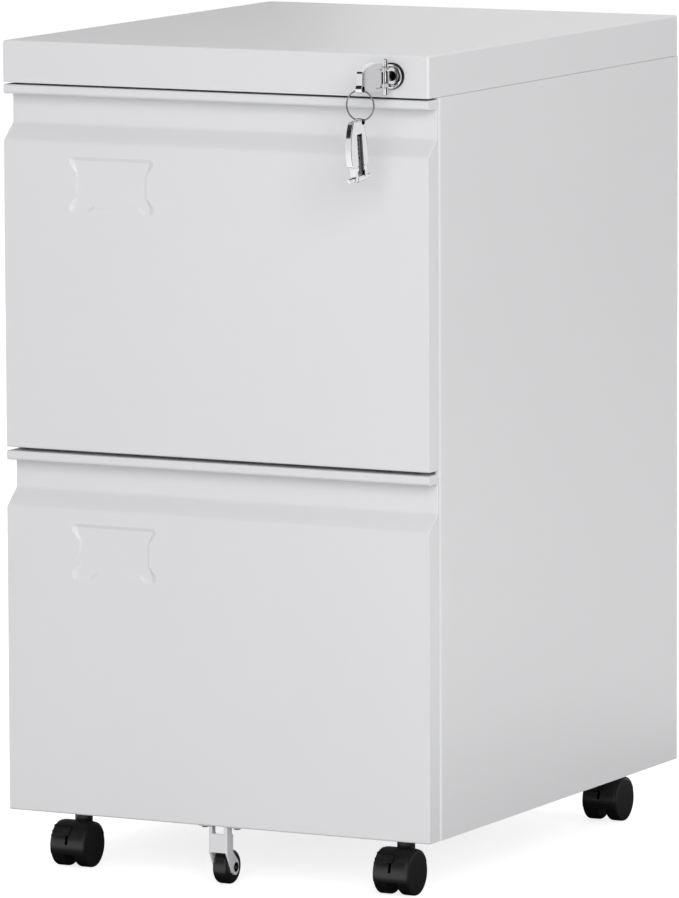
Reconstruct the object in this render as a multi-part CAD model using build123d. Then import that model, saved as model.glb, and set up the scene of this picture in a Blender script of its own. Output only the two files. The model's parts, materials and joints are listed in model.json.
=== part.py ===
from build123d import *
import math
import os

os.makedirs("parts", exist_ok=True)

# Driving dimensions, in millimetres: x from the middle, y from the front plane backwards, z from the floor
WIDTH = 380.0
DEPTH = 460.0
HEIGHT = 670.0
BODY_Z = 48.4
COVER_HEIGHT = 33.5
COVER_GAP = 1.6
DRAWER_GAP = 2.9
SHEET = 1.0
THIN_SHEET = 0.8
KEY_REACH = 72.37

HALF = WIDTH / 2
COVER_Z = HEIGHT - COVER_HEIGHT
FRONT_HEIGHT = (COVER_Z - COVER_GAP - BODY_Z - DRAWER_GAP) / 2
LOWER_Z = BODY_Z
UPPER_Z = BODY_Z + FRONT_HEIGHT + DRAWER_GAP
DRAWERS = {"upper": UPPER_Z, "lower": LOWER_Z}
SIDES = {"left": -1, "right": 1}

# The origin is the middle of the whole outline on the floor, with the keys in front counted in
FRONT_Y = (KEY_REACH - DEPTH) / 2

# Carcass
PANEL_Y = 17.5
PANEL_INNER = HALF - SHEET
HEM = 4.6
HEM_DEPTH = 9.0
HEM_RADII = (3.6, 0.8)
HEM_NOTCH_X = 187.3
SEAM = 0.3
UPSTAND_INSET = 1.3
UPSTAND_TOP = 660.0
BACK_FLANGE = 13.0
BASE_FLANGE = 13.0
COVER_RADIUS = 2.0
RAIL_Y = 22.6
MIDDLE_RAIL_Z = (320.0, 356.0)
TOP_RAIL_Y = (24.0, 46.0)
REAR_RAIL_Y = 430.6

# Drawer fronts
FRONT_HALF = 189.4
FRONT_DEPTH = 17.0
LIP = 7.6
PULL_DEPTH = 15.75
PULL_BOTTOM = 31.3
SLOPE_BOTTOM = 44.9
END_RADIUS = 0.4

# Pressed label recess on each front, with its top measured down from the top of the front
LABEL_X = (-130.0, -54.0)
LABEL_TOP = 55.8
LABEL_HEIGHT = 45.0
LABEL_LOBE = (7.0, 8.4)
LABEL_WAIST = 6.5
LABEL_WAIST_RUN = 4.7
LABEL_ARCH = (-107.0, -69.0)
LABEL_ARCH_RISE = 4.5
LABEL_ARCH_RUN = 6.5
LABEL_CORNERS = (3.6, 0.8)
LABEL_DEPTH = 1.5
LABEL_INSETS = (4.2, 0.3, 2.8)
LABEL_SOFT = 0.4

# Drawer boxes
BOX_SIDE = 176.0
BOX_END_Y = 430.0
BOX_FLOOR = 16.0
BOX_TOP = 246.0
LINER_INSET = 5.2
FILE_RAIL_X = (165.6, 167.4)
FILE_RAIL_Z = (238.0, 252.0)
FRONT_SCREW_X = 120.0
FRONT_SCREW_Z = (70.0, 200.0)

# Slides
SLIDE_Y = (31.0, 425.0)
SLIDE_Z = 60.0
SLIDE_STEEL = 1.2
OUTER_HALF = 22.5
MIDDLE_HALF = 18.2
INNER_HALF = 13.9
SLIDE_HOLES_Y = (52.0, 116.0, 180.0, 244.0, 308.0, 372.0, 404.0)
SLIDE_HOLE = 2.6

# Lock
LOCK_X = 158.5
LOCK_Z = HEIGHT - 16.5
BEZEL_RADIUS = 10.5
BEZEL_REACH = 3.6
HOUSING_RADIUS = 9.0
HOUSING_END = 24.0
PLUG_RADIUS = 6.25
PLUG_FIT = 0.05
PLUG_FACE = -1.5
ROD_RADIUS = 3.0
ROD_FIT = 0.08
CRANK_RADIUS = 8.0
CRANK_Y = (434.0, 437.0)
CRANK_PIN = 2.0
BAR_Y = (441.0, 443.0)
BAR_X = (153.0, 165.0)
BAR_TOP = 655.0
BAR_BOTTOM = 150.0
HOOK_X = (139.0, 151.0)
HOOK_END = 448.0
HOOK_Z = 236.0
HOOK_LIP = 12.0
FINGER_GAP = 1.5
GUIDE_Z = (200.0, 480.0)

# Folding keys
PIN_Y = -12.0
PIN_RADIUS = 1.85
PIN_LENGTH = 28.4
PIN_FIT = 0.07
HEAD_END_Y = -57.0
HEAD_ROOT_GAP = 10.0
HEAD_THICK = 5.8
HEAD_TIP = 6.9
HEAD_TOP = (12.4, 11.7)
HEAD_FOOT = (10.0, 11.0)
PRONG_TOP = 7.6
PRONG_RADIUS = 2.7
KNUCKLE_Y = -8.0
KNUCKLE_RADIUS = 2.9
POCKET_Y = (-22.0, -9.0)
POCKET_FLOOR = 1.8
BLADE = (2.0, 6.2)
BLADE_LENGTH = 31.0
DIMPLE_START = 13.0
DIMPLE_RADIUS = 1.0
BARREL_RADIUS = 2.9
BARREL_LENGTH = 8.6
GROOVE_GAP = 0.4
GROOVE_END = 1.0
RING_HOLE_Y = -55.4
RING_HOLE_DROP = 6.2
RING_HOLE_RADIUS = 2.3
RING_LUG_WALL = 1.0
RING_RADIUS = 11.8
WIRE_RADIUS = 0.65
RING_SAG = 0.8
SPARE_TURN = 172.0
SPARE_TILT = 6.0

# Casters
WHEEL_RADIUS = 18.0
WHEEL_X = (4.2, 15.6)
WHEEL_EDGES = (2.4, 1.4)
HOOD_RADII = (18.4, 19.5)
HOOD_ANGLES = (-18.5, 160.0)
HOOD_HALF = 14.9
HOOD_CROWN = 0.75
HOOD_CROWN_RUN = 4.4
WEB_HALF = 3.0
TRAIL = 11.0
NECK_RADIUS = 7.2
NECK_TOP = 45.9
STEM_RADIUS = 3.45
STEM_FIT = 0.07
AXLE_RADIUS = 2.5
AXLE_FIT = 0.06
CASTER_X = 146.0
SWIVEL_Y = {"front": 45.0, "rear": 430.0}
BRAKE_ANGLES = (24.0, 29.5, 52.0)
BRAKE_X = (-13.6, -1.5, 2.2)
BRAKE_HEIGHTS = (1.0, 2.1)
BRAKE_RIDGES = (24.0, 34.5, 49.6)
RIDGE_ANGLE = 2.4
SLOT_ANGLES = (5.7, 31.0)
STUD_ANGLES = (27.2, 30.6)

# Guide wheel under the lower drawer
GUIDE_X = 0.0
GUIDE_Y = 16.1
GUIDE_RADIUS = 13.8
GUIDE_LIFT = 0.1
GUIDE_WIDTH = 13.0
GUIDE_SHOULDER = 3.2
BRACKET_HALF = 8.2
BRACKET_SHEET = 1.5
BRACKET_Y = (1.1, 11.8)
BRACKET_CORNER = 1.2
WEB_Z = (27.1, 42.3)
WINDOW_STRIP = 2.8
WINDOW_FLANGE = 8.6
ARM_RADIUS = 5.2
EAR_SHEET = 1.0
EAR_REACH = 19.5
EAR_SCREW = (14.3, 7.2)
SCREW_HEAD = (2.9, 1.3)
RIVET_RADII = (2.9, 3.4)
RIVET_DEPTH = 1.4


def block(x0, x1, y0, y1, z0, z1):
    """A box between two corners."""
    middle = Pos((x0 + x1) / 2, (y0 + y1) / 2, (z0 + z1) / 2)
    return middle * Box(abs(x1 - x0), abs(y1 - y0), abs(z1 - z0))


def bar_x(radius, x0, x1, y, z):
    """A round bar along x."""
    return Pos((x0 + x1) / 2, y, z) * Rot(0, 90, 0) * Cylinder(radius, abs(x1 - x0))


def bar_y(radius, x, y0, y1, z):
    """A round bar along y."""
    return Pos(x, (y0 + y1) / 2, z) * Rot(90, 0, 0) * Cylinder(radius, abs(y1 - y0))


def bar_z(radius, x, y, z0, z1):
    """A round bar along z."""
    return Pos(x, y, (z0 + z1) / 2) * Cylinder(radius, abs(z1 - z0))


def hexagon_y(flats, x, y0, y1, z):
    """A hexagon bar along y."""
    face = RegularPolygon(flats / 2, 6, major_radius=False)
    return Pos(x, y1, z) * extrude(Plane.XZ * face, y1 - y0)


def hexagon_z(flats, x, y, z0, z1):
    """A hexagon bar along z."""
    face = RegularPolygon(flats / 2, 6, major_radius=False)
    return Pos(x, y, z0) * extrude(face, z1 - z0)


def outline(points, radii):
    """A closed flat face through points, with each corner rounded by its radius."""
    return make_face(FilletPolyline(*points, radius=radii, close=True))


def along_x(face, x0, x1):
    """A face drawn in (y, z), drawn out from x0 to x1."""
    return Pos(x0, 0, 0) * extrude(Plane.YZ * face, x1 - x0)


def along_y(face, y0, y1):
    """A face drawn in (x, z), drawn out from y0 to y1."""
    return Pos(0, y1, 0) * extrude(Plane.XZ * face, y1 - y0)


def mirrored(shape):
    """The same piece on the other side of the cabinet."""
    return mirror(shape, about=Plane.YZ)


def polar(radius, degrees):
    """A point on a circle in (y, z), with 0 degrees to the front and 90 degrees up."""
    turn = math.radians(degrees)
    return -radius * math.cos(turn), radius * math.sin(turn)


def ring_sector(radii, angles, x0, x1):
    """Part of a ring about the x axis, between two angles from the front upwards."""
    low, high = angles
    middle = (low + high) / 2
    edges = [
        ThreePointArc(polar(radii[0], low), polar(radii[0], middle), polar(radii[0], high)),
        Line(polar(radii[0], high), polar(radii[1], high)),
        ThreePointArc(polar(radii[1], high), polar(radii[1], middle), polar(radii[1], low)),
        Line(polar(radii[1], low), polar(radii[0], low)),
    ]
    return along_x(make_face(edges), x0, x1)


def save(name, *solids):
    """Write one piece, or a group of like pieces, in the cabinet's own frame."""
    placed = [Pos(0, FRONT_Y, 0) * solid for shape in solids for solid in shape.solids()]
    export_step(placed[0] if len(placed) == 1 else Compound(children=placed), f"parts/{name}.step")


# Carcass


def side_panel():
    """Right side panel: outer sheet, front hem notched for the slides, back flange and upstand."""
    top = COVER_Z - SEAM
    hem = block(HALF - HEM, HALF, PANEL_Y, PANEL_Y + HEM_DEPTH, BODY_Z, top)
    front = hem.edges().filter_by(Axis.Z).filter_by(lambda e: e.center().Y < PANEL_Y + 0.1).sort_by(Axis.X)
    hem = fillet(front[-1], HEM_RADII[0])
    front = hem.edges().filter_by(Axis.Z).filter_by(lambda e: e.center().Y < PANEL_Y + 0.1).sort_by(Axis.X)
    hem = fillet(front[0], HEM_RADII[1])
    notch = MIDDLE_HALF + 1.5
    for z0 in DRAWERS.values():
        z = z0 + SLIDE_Z
        hem -= block(0, HEM_NOTCH_X, 0, PANEL_Y + HEM_DEPTH + 1, z - notch, z + notch)
    sheet = block(PANEL_INNER, HALF, PANEL_Y + HEM, DEPTH, BODY_Z, top)
    flange = block(HALF - BACK_FLANGE, PANEL_INNER, DEPTH - SHEET, DEPTH, BODY_Z, top)
    inset = HALF - SHEET - UPSTAND_INSET
    shelf = block(inset, PANEL_INNER, PANEL_Y + HEM, DEPTH - SHEET, top - SHEET, top)
    upstand = block(inset, inset + SHEET, PANEL_Y + HEM, DEPTH - 3 * SHEET, top, UPSTAND_TOP)
    return sheet + hem + flange + shelf + upstand


def back_panel():
    """Plain sheet inside the side panels' back flanges, with a tongue up inside the cover."""
    y1 = DEPTH - SHEET
    edge = PANEL_INNER - 0.2
    sheet = block(-edge, edge, y1 - SHEET, y1, BODY_Z + SHEET, COVER_Z - SEAM - SHEET)
    tongue_edge = HALF - SHEET - UPSTAND_INSET - 1.0
    return sheet + block(-tongue_edge, tongue_edge, y1 - SHEET, y1, COVER_Z - SEAM - SHEET, UPSTAND_TOP)


def bottom_panel():
    """Base sheet with upturned sides and the caster holes."""
    edge = PANEL_INNER - 0.1
    y0 = PANEL_Y + HEM_DEPTH + 1.0
    y1 = DEPTH - 2 * SHEET - 0.2
    panel = block(-edge, edge, y0, y1, BODY_Z, BODY_Z + SHEET)
    throat = PANEL_INNER - HEM
    panel += block(-throat, throat, RAIL_Y, y0, BODY_Z, BODY_Z + SHEET)
    panel += block(-throat, throat, RAIL_Y, RAIL_Y + SHEET, BODY_Z, BODY_Z + BASE_FLANGE)
    for side in SIDES.values():
        panel += block(side * edge, side * (edge - SHEET), y0, y1, BODY_Z, BODY_Z + BASE_FLANGE)
        for y in SWIVEL_Y.values():
            panel -= bar_z(STEM_RADIUS + 0.7, side * CASTER_X, y, BODY_Z - 1, BODY_Z + 2)
    return panel


def top_cover():
    """Folded lid over the whole footprint, with the lock's hole in its front skirt."""
    lid = block(-HALF, HALF, 0, DEPTH, COVER_Z, HEIGHT)
    corners = lid.edges().filter_by(lambda e: e.center().Z > COVER_Z + 1)
    lid = fillet(corners, COVER_RADIUS)
    lid -= block(-PANEL_INNER, PANEL_INNER, SHEET, DEPTH - SHEET, COVER_Z - 1, HEIGHT - SHEET)
    return lid - bar_y(HOUSING_RADIUS + 0.3, LOCK_X, -1, 2 * SHEET, LOCK_Z)


def top_rail():
    """Angle across the front under the cover, with a clearance hole for the lock rod."""
    edge = HALF - SHEET - UPSTAND_INSET
    y0, y1 = TOP_RAIL_Y
    z0 = COVER_Z + 0.6
    rail = block(-edge, edge, y0, y1, z0, z0 + SHEET)
    rail += block(-edge, edge, y1 - SHEET, y1, z0, HEIGHT - 2 * SHEET)
    return rail - bar_y(ROD_RADIUS + 1.5, LOCK_X, y1 - 2, y1 + 1, LOCK_Z)


def rear_rail():
    """Strip across the back under the cover, which carries the lock rod."""
    edge = HALF - SHEET - UPSTAND_INSET
    y1 = REAR_RAIL_Y + 1.6
    rail = block(-edge, edge, REAR_RAIL_Y, y1, COVER_Z + 0.6, HEIGHT - 2 * SHEET)
    return rail - bar_y(ROD_RADIUS + ROD_FIT, LOCK_X, REAR_RAIL_Y - 1, y1 + 1, LOCK_Z)


def middle_rail():
    """Channel across the front between the drawers."""
    edge = PANEL_INNER - HEM
    z0, z1 = MIDDLE_RAIL_Z
    back = RAIL_Y + 16.0
    rail = block(-edge, edge, RAIL_Y, RAIL_Y + SHEET, z0, z1)
    for z in (z0, z1 - SHEET):
        rail += block(-edge, edge, RAIL_Y, back, z, z + SHEET)
    return rail


def bumpers():
    """Rubber buttons on the rails, two to a drawer."""
    places = [(UPPER_Z + 7.0, RAIL_Y), (LOWER_Z + FRONT_HEIGHT - 12.0, RAIL_Y)]
    start = FRONT_DEPTH + SHEET + 0.3
    return [bar_y(4.0, side * 140.0, start, y, z) for z, y in places for side in SIDES.values()]


# Drawers


def front_section(back):
    """Section of a drawer front in (y, z) from its bottom: flat face, slope, finger pull and lip."""
    points = [
        (back, 0),
        (0, 0),
        (0, FRONT_HEIGHT - SLOPE_BOTTOM),
        (PULL_DEPTH, FRONT_HEIGHT - PULL_BOTTOM),
        (PULL_DEPTH, FRONT_HEIGHT - LIP),
        (0, FRONT_HEIGHT - LIP),
        (0, FRONT_HEIGHT),
        (back, FRONT_HEIGHT),
    ]
    return outline(points, [0, 1.5, 4.0, 4.0, 2.0, 2.6, 1.6, 0])


def label_frame(drawn, grown=0.0):
    """Outline of the label recess in (x, z) down from the front's top, part of the way down its slope."""
    lobe, waist, edge = (inset * drawn - grown for inset in LABEL_INSETS)
    bend = math.tan(math.atan2(LABEL_WAIST, LABEL_WAIST_RUN) / 2)
    rise = math.tan(math.atan2(LABEL_ARCH_RISE, LABEL_ARCH_RUN) / 2) * edge
    left, right = LABEL_X[0] + lobe, LABEL_X[1] - lobe
    waist_left, waist_right = (LABEL_X[0] + LABEL_WAIST + waist, LABEL_X[1] - LABEL_WAIST - waist)
    top, bottom = -LABEL_TOP - edge, -LABEL_TOP - LABEL_HEIGHT + edge
    upper = -LABEL_TOP - LABEL_LOBE[0]
    lower = -LABEL_TOP - LABEL_HEIGHT + LABEL_LOBE[1]
    waist_top, waist_bottom = upper - LABEL_WAIST_RUN + bend * waist, lower + LABEL_WAIST_RUN - bend * waist
    lobe_end, lobe_start = upper + bend * lobe, lower - bend * lobe
    arch_left, arch_right = LABEL_ARCH[0] - rise, LABEL_ARCH[1] + rise
    points = [
        (left, top),
        (right, top),
        (right, lobe_end),
        (waist_right, waist_top),
        (waist_right, waist_bottom),
        (right, lobe_start),
        (right, bottom),
        (arch_right + LABEL_ARCH_RUN, bottom),
        (arch_right, bottom + LABEL_ARCH_RISE),
        (arch_left, bottom + LABEL_ARCH_RISE),
        (arch_left - LABEL_ARCH_RUN, bottom),
        (left, bottom),
        (left, lobe_start),
        (waist_left, waist_bottom),
        (waist_left, waist_top),
        (left, lobe_end),
    ]
    rim, floor = LABEL_CORNERS
    return outline(points, rim + (floor - rim) * drawn + grown / 2)


def label_recess(start, end):
    """Solid between the label's outlines at two depths, each given as (y, part of the slope, growth)."""
    faces = [(y, label_frame(drawn, grown)) for y, drawn, grown in (start, end)]
    return loft([Pos(0, y, FRONT_HEIGHT) * (Plane.XZ * face) for y, face in faces], ruled=True)


def on_label(edge):
    """Whether an edge of a front, drawn from its bottom, lies on the label's outline."""
    place = edge.center()
    below = FRONT_HEIGHT - place.Z
    across = LABEL_X[0] - 1 < place.X < LABEL_X[1] + 1
    return across and LABEL_TOP - 1 < below < LABEL_TOP + LABEL_HEIGHT + 1


def drawer_front(z0):
    """Folded front sheet with closed ends and the pressed label recess."""
    body = along_x(front_section(FRONT_DEPTH), -FRONT_HALF, FRONT_HALF)
    ends = body.faces().filter_by(Axis.X)
    rims = ends.edges().filter_by(lambda e: e.center().Y < FRONT_DEPTH - 0.1)
    body = fillet(rims, END_RADIUS)
    inside = offset(front_section(2 * FRONT_DEPTH), -SHEET, kind=Kind.INTERSECTION)
    body -= along_x(inside, SHEET - FRONT_HALF, FRONT_HALF - SHEET)
    body += label_recess((SHEET / 2, 0, SHEET), (LABEL_DEPTH + SHEET, 1, SHEET))
    body -= label_recess((-SHEET, -SHEET / LABEL_DEPTH, 0), (LABEL_DEPTH, 1, 0))
    rim = body.edges().filter_by(lambda e: abs(e.center().Y) < 0.01).filter_by(on_label)
    return Pos(0, 0, z0) * fillet(rim, LABEL_SOFT)


def drawer_liner(z0):
    """Sheet behind the front, with the screw holes."""
    edge = HALF - LINER_INSET
    z1 = z0 + FRONT_HEIGHT - LINER_INSET
    sheet = block(-edge, edge, FRONT_DEPTH, FRONT_DEPTH + SHEET, z0 + LINER_INSET, z1)
    for x, z in front_screw_places(z0):
        sheet -= bar_y(2.0, x, FRONT_DEPTH - 1, FRONT_DEPTH + 3, z)
    return sheet


def front_screw_places(z0):
    """Where the screws hold the front to the box."""
    return [(side * FRONT_SCREW_X, z0 + z) for side in SIDES.values() for z in FRONT_SCREW_Z]


def front_screws(z0):
    """Pan-head screws through the liner into the front."""
    start = FRONT_DEPTH + SHEET
    screws = []
    for x, z in front_screw_places(z0):
        head = fillet(bar_y(3.6, x, start, start + 2.2, z).edges().group_by(Axis.Y)[-1], 1.2)
        recess = block(x - 2.0, x + 2.0, start + 1.2, start + 3, z - 0.5, z + 0.5)
        recess += block(x - 0.5, x + 0.5, start + 1.2, start + 3, z - 2.0, z + 2.0)
        screws.append(head + bar_y(1.9, x, FRONT_DEPTH - 10.0, start, z) - recess)
    return screws


def drawer_side(z0):
    """Right side sheet of a drawer box, with a turned-in bottom edge."""
    y0 = FRONT_DEPTH + SHEET
    sheet = block(BOX_SIDE - THIN_SHEET, BOX_SIDE, y0, BOX_END_Y, z0 + BOX_FLOOR - 2, z0 + BOX_TOP)
    foot = z0 + BOX_FLOOR - 2
    return sheet + block(BOX_SIDE - 10, BOX_SIDE, y0, BOX_END_Y, foot, foot + THIN_SHEET)


def drawer_bottom(z0):
    """Bottom sheet of a drawer box, resting on the sides' turned-in edges."""
    edge = BOX_SIDE - THIN_SHEET
    z = z0 + BOX_FLOOR - 2 + THIN_SHEET
    return block(-edge, edge, FRONT_DEPTH + SHEET, BOX_END_Y - THIN_SHEET, z, z + THIN_SHEET)


def drawer_back(z0):
    """Back sheet of a drawer box with the bent hook that the lock bar's finger stops."""
    edge = BOX_SIDE - THIN_SHEET
    foot = z0 + BOX_FLOOR - 2 + THIN_SHEET
    sheet = block(-edge, edge, BOX_END_Y - THIN_SHEET, BOX_END_Y, foot, z0 + BOX_TOP)
    z = z0 + HOOK_Z
    hook = block(*HOOK_X, BOX_END_Y - THIN_SHEET, HOOK_END, z - 1.6, z)
    return sheet + hook + block(*HOOK_X, HOOK_END - 1.6, HOOK_END, z - HOOK_LIP, z)


def file_rails(z0):
    """Flat bars that hanging files hook over, from the liner to the back."""
    y0, y1 = FRONT_DEPTH + SHEET, BOX_END_Y - THIN_SHEET
    low, high = (z0 + z for z in FILE_RAIL_Z)
    right = block(*FILE_RAIL_X, y0, y1, low, high)
    right = fillet(right.edges().filter_by(Axis.Y), 0.6)
    return [right, mirrored(right)]


# Slides


def channel(x_web, x_lip, half, z):
    """A slide member: a web with screw holes and two flanges along y."""
    step = math.copysign(SLIDE_STEEL, x_lip - x_web)
    member = block(x_web, x_web + step, *SLIDE_Y, z - half, z + half)
    for side in (-1, 1):
        member += block(x_web, x_lip, *SLIDE_Y, z + side * half, z + side * (half - SLIDE_STEEL))
    for y in SLIDE_HOLES_Y:
        member -= bar_x(SLIDE_HOLE, x_web - step, x_web + 2 * step, y, z)
    return member


def slide_members(z0):
    """Outer, middle and inner members of one drawer's pair of slides."""
    z = z0 + SLIDE_Z
    outer = channel(PANEL_INNER, BOX_SIDE + 1.5, OUTER_HALF, z)
    middle = channel(PANEL_INNER - 2 * SLIDE_STEEL, BOX_SIDE + 2.0, MIDDLE_HALF, z)
    inner = channel(BOX_SIDE, PANEL_INNER - 5.0, INNER_HALF, z)
    return {"outer": outer, "middle": middle, "inner": inner}


# Lock


def lock_housing():
    """Round body with a rimmed, dished bezel and the plug's bore."""
    points = [
        (PLUG_RADIUS + PLUG_FIT, PLUG_FACE),
        (BEZEL_RADIUS - 2.2, -BEZEL_REACH),
        (BEZEL_RADIUS, -BEZEL_REACH),
        (BEZEL_RADIUS, 0),
        (HOUSING_RADIUS, 0),
        (HOUSING_RADIUS, HOUSING_END),
        (PLUG_RADIUS + PLUG_FIT, HOUSING_END),
    ]
    face = outline(points, [0, 0.5, 1.4, 0, 0, 0, 0])
    return Pos(LOCK_X, 0, LOCK_Z) * revolve(face, Axis.Y)


def lock_nut():
    """Thin hexagon nut behind the cover's front skirt."""
    nut = hexagon_y(25.0, LOCK_X, SHEET, SHEET + 5.0, LOCK_Z)
    return nut - bar_y(HOUSING_RADIUS + 0.02, LOCK_X, 0, 10, LOCK_Z)


def lock_plug():
    """Turning plug with its keyway."""
    plug = bar_y(PLUG_RADIUS, LOCK_X, PLUG_FACE, HOUSING_END + 1.0, LOCK_Z)
    half_width, half_height = BLADE[0] / 2 + 0.2, BLADE[1] / 2 + 0.4
    end = PIN_Y + BARREL_RADIUS + BLADE_LENGTH + 1.0
    x, z = LOCK_X, LOCK_Z
    return plug - block(x - half_width, x + half_width, PLUG_FACE - 1, end, z - half_height, z + half_height)


def crank_place():
    """Where the crank pin stands at rest, an eighth of a turn below level."""
    reach = CRANK_RADIUS * math.sqrt(0.5)
    return LOCK_X - reach, LOCK_Z - reach


def lock_rod():
    """Rod from the plug to the rear, with a crank arm and pin."""
    rod = bar_y(ROD_RADIUS, LOCK_X, HOUSING_END + 1.0, CRANK_Y[1], LOCK_Z)
    x, z = crank_place()
    length = CRANK_RADIUS + 2 * ROD_RADIUS
    arm = Pos(LOCK_X, 0, LOCK_Z) * Rot(0, -45, 0) * Pos(-CRANK_RADIUS / 2, 0, 0)
    arm *= along_y(SlotOverall(length, 2 * ROD_RADIUS), *CRANK_Y)
    return rod + arm + bar_y(CRANK_PIN, x, CRANK_Y[1], BAR_Y[1] + 3.0, z)


def finger_top(z0):
    """Top of a lock bar finger at rest, just under its drawer's hook."""
    return z0 + HOOK_Z - HOOK_LIP - FINGER_GAP


def lock_bar():
    """Flat bar with a slot for the crank pin and a finger for each drawer's hook."""
    bar = block(*BAR_X, *BAR_Y, BAR_BOTTOM, BAR_TOP)
    x, z = crank_place()
    slot_low, slot_high = LOCK_X - CRANK_RADIUS - 3.2, x + 3.2
    bar += block(slot_low - 3.5, BAR_X[1], *BAR_Y, z - 9.0, BAR_TOP)
    slot = block(slot_low, slot_high, BAR_Y[0] - 1, BAR_Y[1] + 1, z - 2.5, z + 2.5)
    bar -= fillet(slot.edges().filter_by(Axis.Y), 2.4)
    for z0 in DRAWERS.values():
        top = finger_top(z0)
        bar += block(HOOK_X[0] - 1, BAR_X[0], *BAR_Y, top - 16.0, top)
    return bar


def lock_bar_guides():
    """Blocks on the back panel that the lock bar slides through."""
    guides = []
    for z in GUIDE_Z:
        body = block(BAR_X[0] - 3, BAR_X[1] + 3, BAR_Y[0] - 2.5, DEPTH - 2 * SHEET, z - 7.5, z + 7.5)
        slot = block(BAR_X[0] - 0.5, BAR_X[1] + 0.5, BAR_Y[0] - 0.5, BAR_Y[1] + 0.5, z - 9, z + 9)
        guides.append(body - slot)
    return guides


# Folding keys, drawn round their cross pin at the origin, with the head towards -y and the blade towards +y


def key_blade():
    """Blade, barrel and cross pin of a folding key."""
    thick, tall = BLADE
    blade = block(-thick / 2, thick / 2, 0, BARREL_RADIUS + BLADE_LENGTH, -tall / 2, tall / 2)
    tip = blade.edges().filter_by(Axis.X).filter_by(lambda e: e.center().Y > BLADE_LENGTH)
    blade = chamfer(tip, tall / 3)
    for n in range(5):
        for side in (-1, 1):
            blade -= Pos(side * thick / 2, BARREL_RADIUS + DIMPLE_START + 3.6 * n, 0) * Sphere(DIMPLE_RADIUS)
    barrel = bar_z(BARREL_RADIUS, 0, 0, -BARREL_LENGTH / 2, BARREL_LENGTH / 2)
    pin = bar_z(PIN_RADIUS, 0, 0, -PIN_LENGTH / 2, PIN_LENGTH / 2)
    pin = chamfer(pin.edges().filter_by(GeomType.CIRCLE), 0.4)
    return blade + barrel + pin


def key_head():
    """Folding head: an arched plate with a knuckle and fork at its root, a blade groove and a ring lug."""
    tip = HEAD_END_Y - PIN_Y
    root = -HEAD_ROOT_GAP
    middle = (tip + root) / 2
    half = HEAD_THICK / 2
    edges = [
        Line((root, -HEAD_FOOT[1]), (root, HEAD_TOP[1])),
        ThreePointArc((root, HEAD_TOP[1]), (middle, HEAD_TOP[0]), (tip, HEAD_TIP)),
        Line((tip, HEAD_TIP), (tip, -HEAD_TIP)),
        ThreePointArc((tip, -HEAD_TIP), (middle, -HEAD_FOOT[0]), (root, -HEAD_FOOT[1])),
    ]
    head = along_x(fillet(make_face(edges).vertices(), 2.0), -half, half)
    head = fillet(head.faces().filter_by(Axis.X).edges(), 0.9)
    hole_y, hole_z = RING_HOLE_Y - PIN_Y, -RING_HOLE_DROP
    lug = bar_x(RING_HOLE_RADIUS + RING_LUG_WALL, -half, half, hole_y, hole_z)
    head += fillet(lug.edges().filter_by(GeomType.CIRCLE), 0.6)
    head -= block(POCKET_FLOOR, HEAD_THICK, *POCKET_Y, -PRONG_TOP, PRONG_TOP)
    head += bar_z(KNUCKLE_RADIUS, 0, KNUCKLE_Y, -PRONG_TOP, PRONG_TOP)
    start = BARREL_LENGTH / 2 + 0.4
    for side in (-1, 1):
        head += bar_z(PRONG_RADIUS, 0, 0, side * start, side * PRONG_TOP)
        head += block(-PRONG_RADIUS, PRONG_RADIUS, root - 1, 0, side * start, side * PRONG_TOP)
    groove = BLADE[1] / 2 + GROOVE_GAP
    groove_end = -(BARREL_RADIUS + BLADE_LENGTH + GROOVE_END)
    head -= block(-HEAD_THICK, BLADE[0] / 2 + 0.3, groove_end, 0, -groove, groove)
    head -= bar_x(RING_HOLE_RADIUS, -HEAD_THICK, HEAD_THICK, hole_y, hole_z)
    return head - bar_z(PIN_RADIUS + PIN_FIT, 0, 0, -PIN_LENGTH, PIN_LENGTH)


def folded_blade():
    """The blade turned right round its pin into the head's groove."""
    return Rot(0, 0, 180) * key_blade()


IN_LOCK = Pos(LOCK_X, PIN_Y, LOCK_Z)
RING_HOLE_Z = LOCK_Z - RING_HOLE_DROP
RING_Z = RING_HOLE_Z - RING_SAG - RING_RADIUS
SPARE_HOLE_Z = RING_Z - RING_RADIUS - RING_SAG
SPARE_FROM_HOLE = Pos(0, PIN_Y - RING_HOLE_Y, RING_HOLE_DROP)
HANGING = Rot(0, 0, SPARE_TURN) * Rot(-90 - SPARE_TILT, 0, 0)
ON_RING = Pos(LOCK_X, RING_HOLE_Y, SPARE_HOLE_Z) * HANGING * SPARE_FROM_HOLE


def key_ring():
    """Wire ring through the head's hole."""
    return Pos(LOCK_X, RING_HOLE_Y, RING_Z) * Rot(90, 0, 0) * Torus(RING_RADIUS, WIRE_RADIUS)


# Casters, drawn with the swivel axis on x = y = 0


def hood_shell():
    """Half-round shell over both wheels, crowned towards its ends and drawn round the axle."""
    inner, outer = HOOD_RADII
    edge, flat = outer - HOOD_CROWN, HOOD_HALF - HOOD_CROWN_RUN
    edges = [
        Line((-HOOD_HALF, inner), (HOOD_HALF, inner)),
        Line((HOOD_HALF, inner), (HOOD_HALF, edge)),
        TangentArc((flat, outer), (HOOD_HALF, edge), tangent=(1, 0)),
        Line((flat, outer), (-flat, outer)),
        TangentArc((-flat, outer), (-HOOD_HALF, edge), tangent=(-1, 0)),
        Line((-HOOD_HALF, edge), (-HOOD_HALF, inner)),
    ]
    low, high = HOOD_ANGLES
    return Rot(180 - high, 0, 0) * revolve(make_face(edges), Axis.X, high - low)


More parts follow.
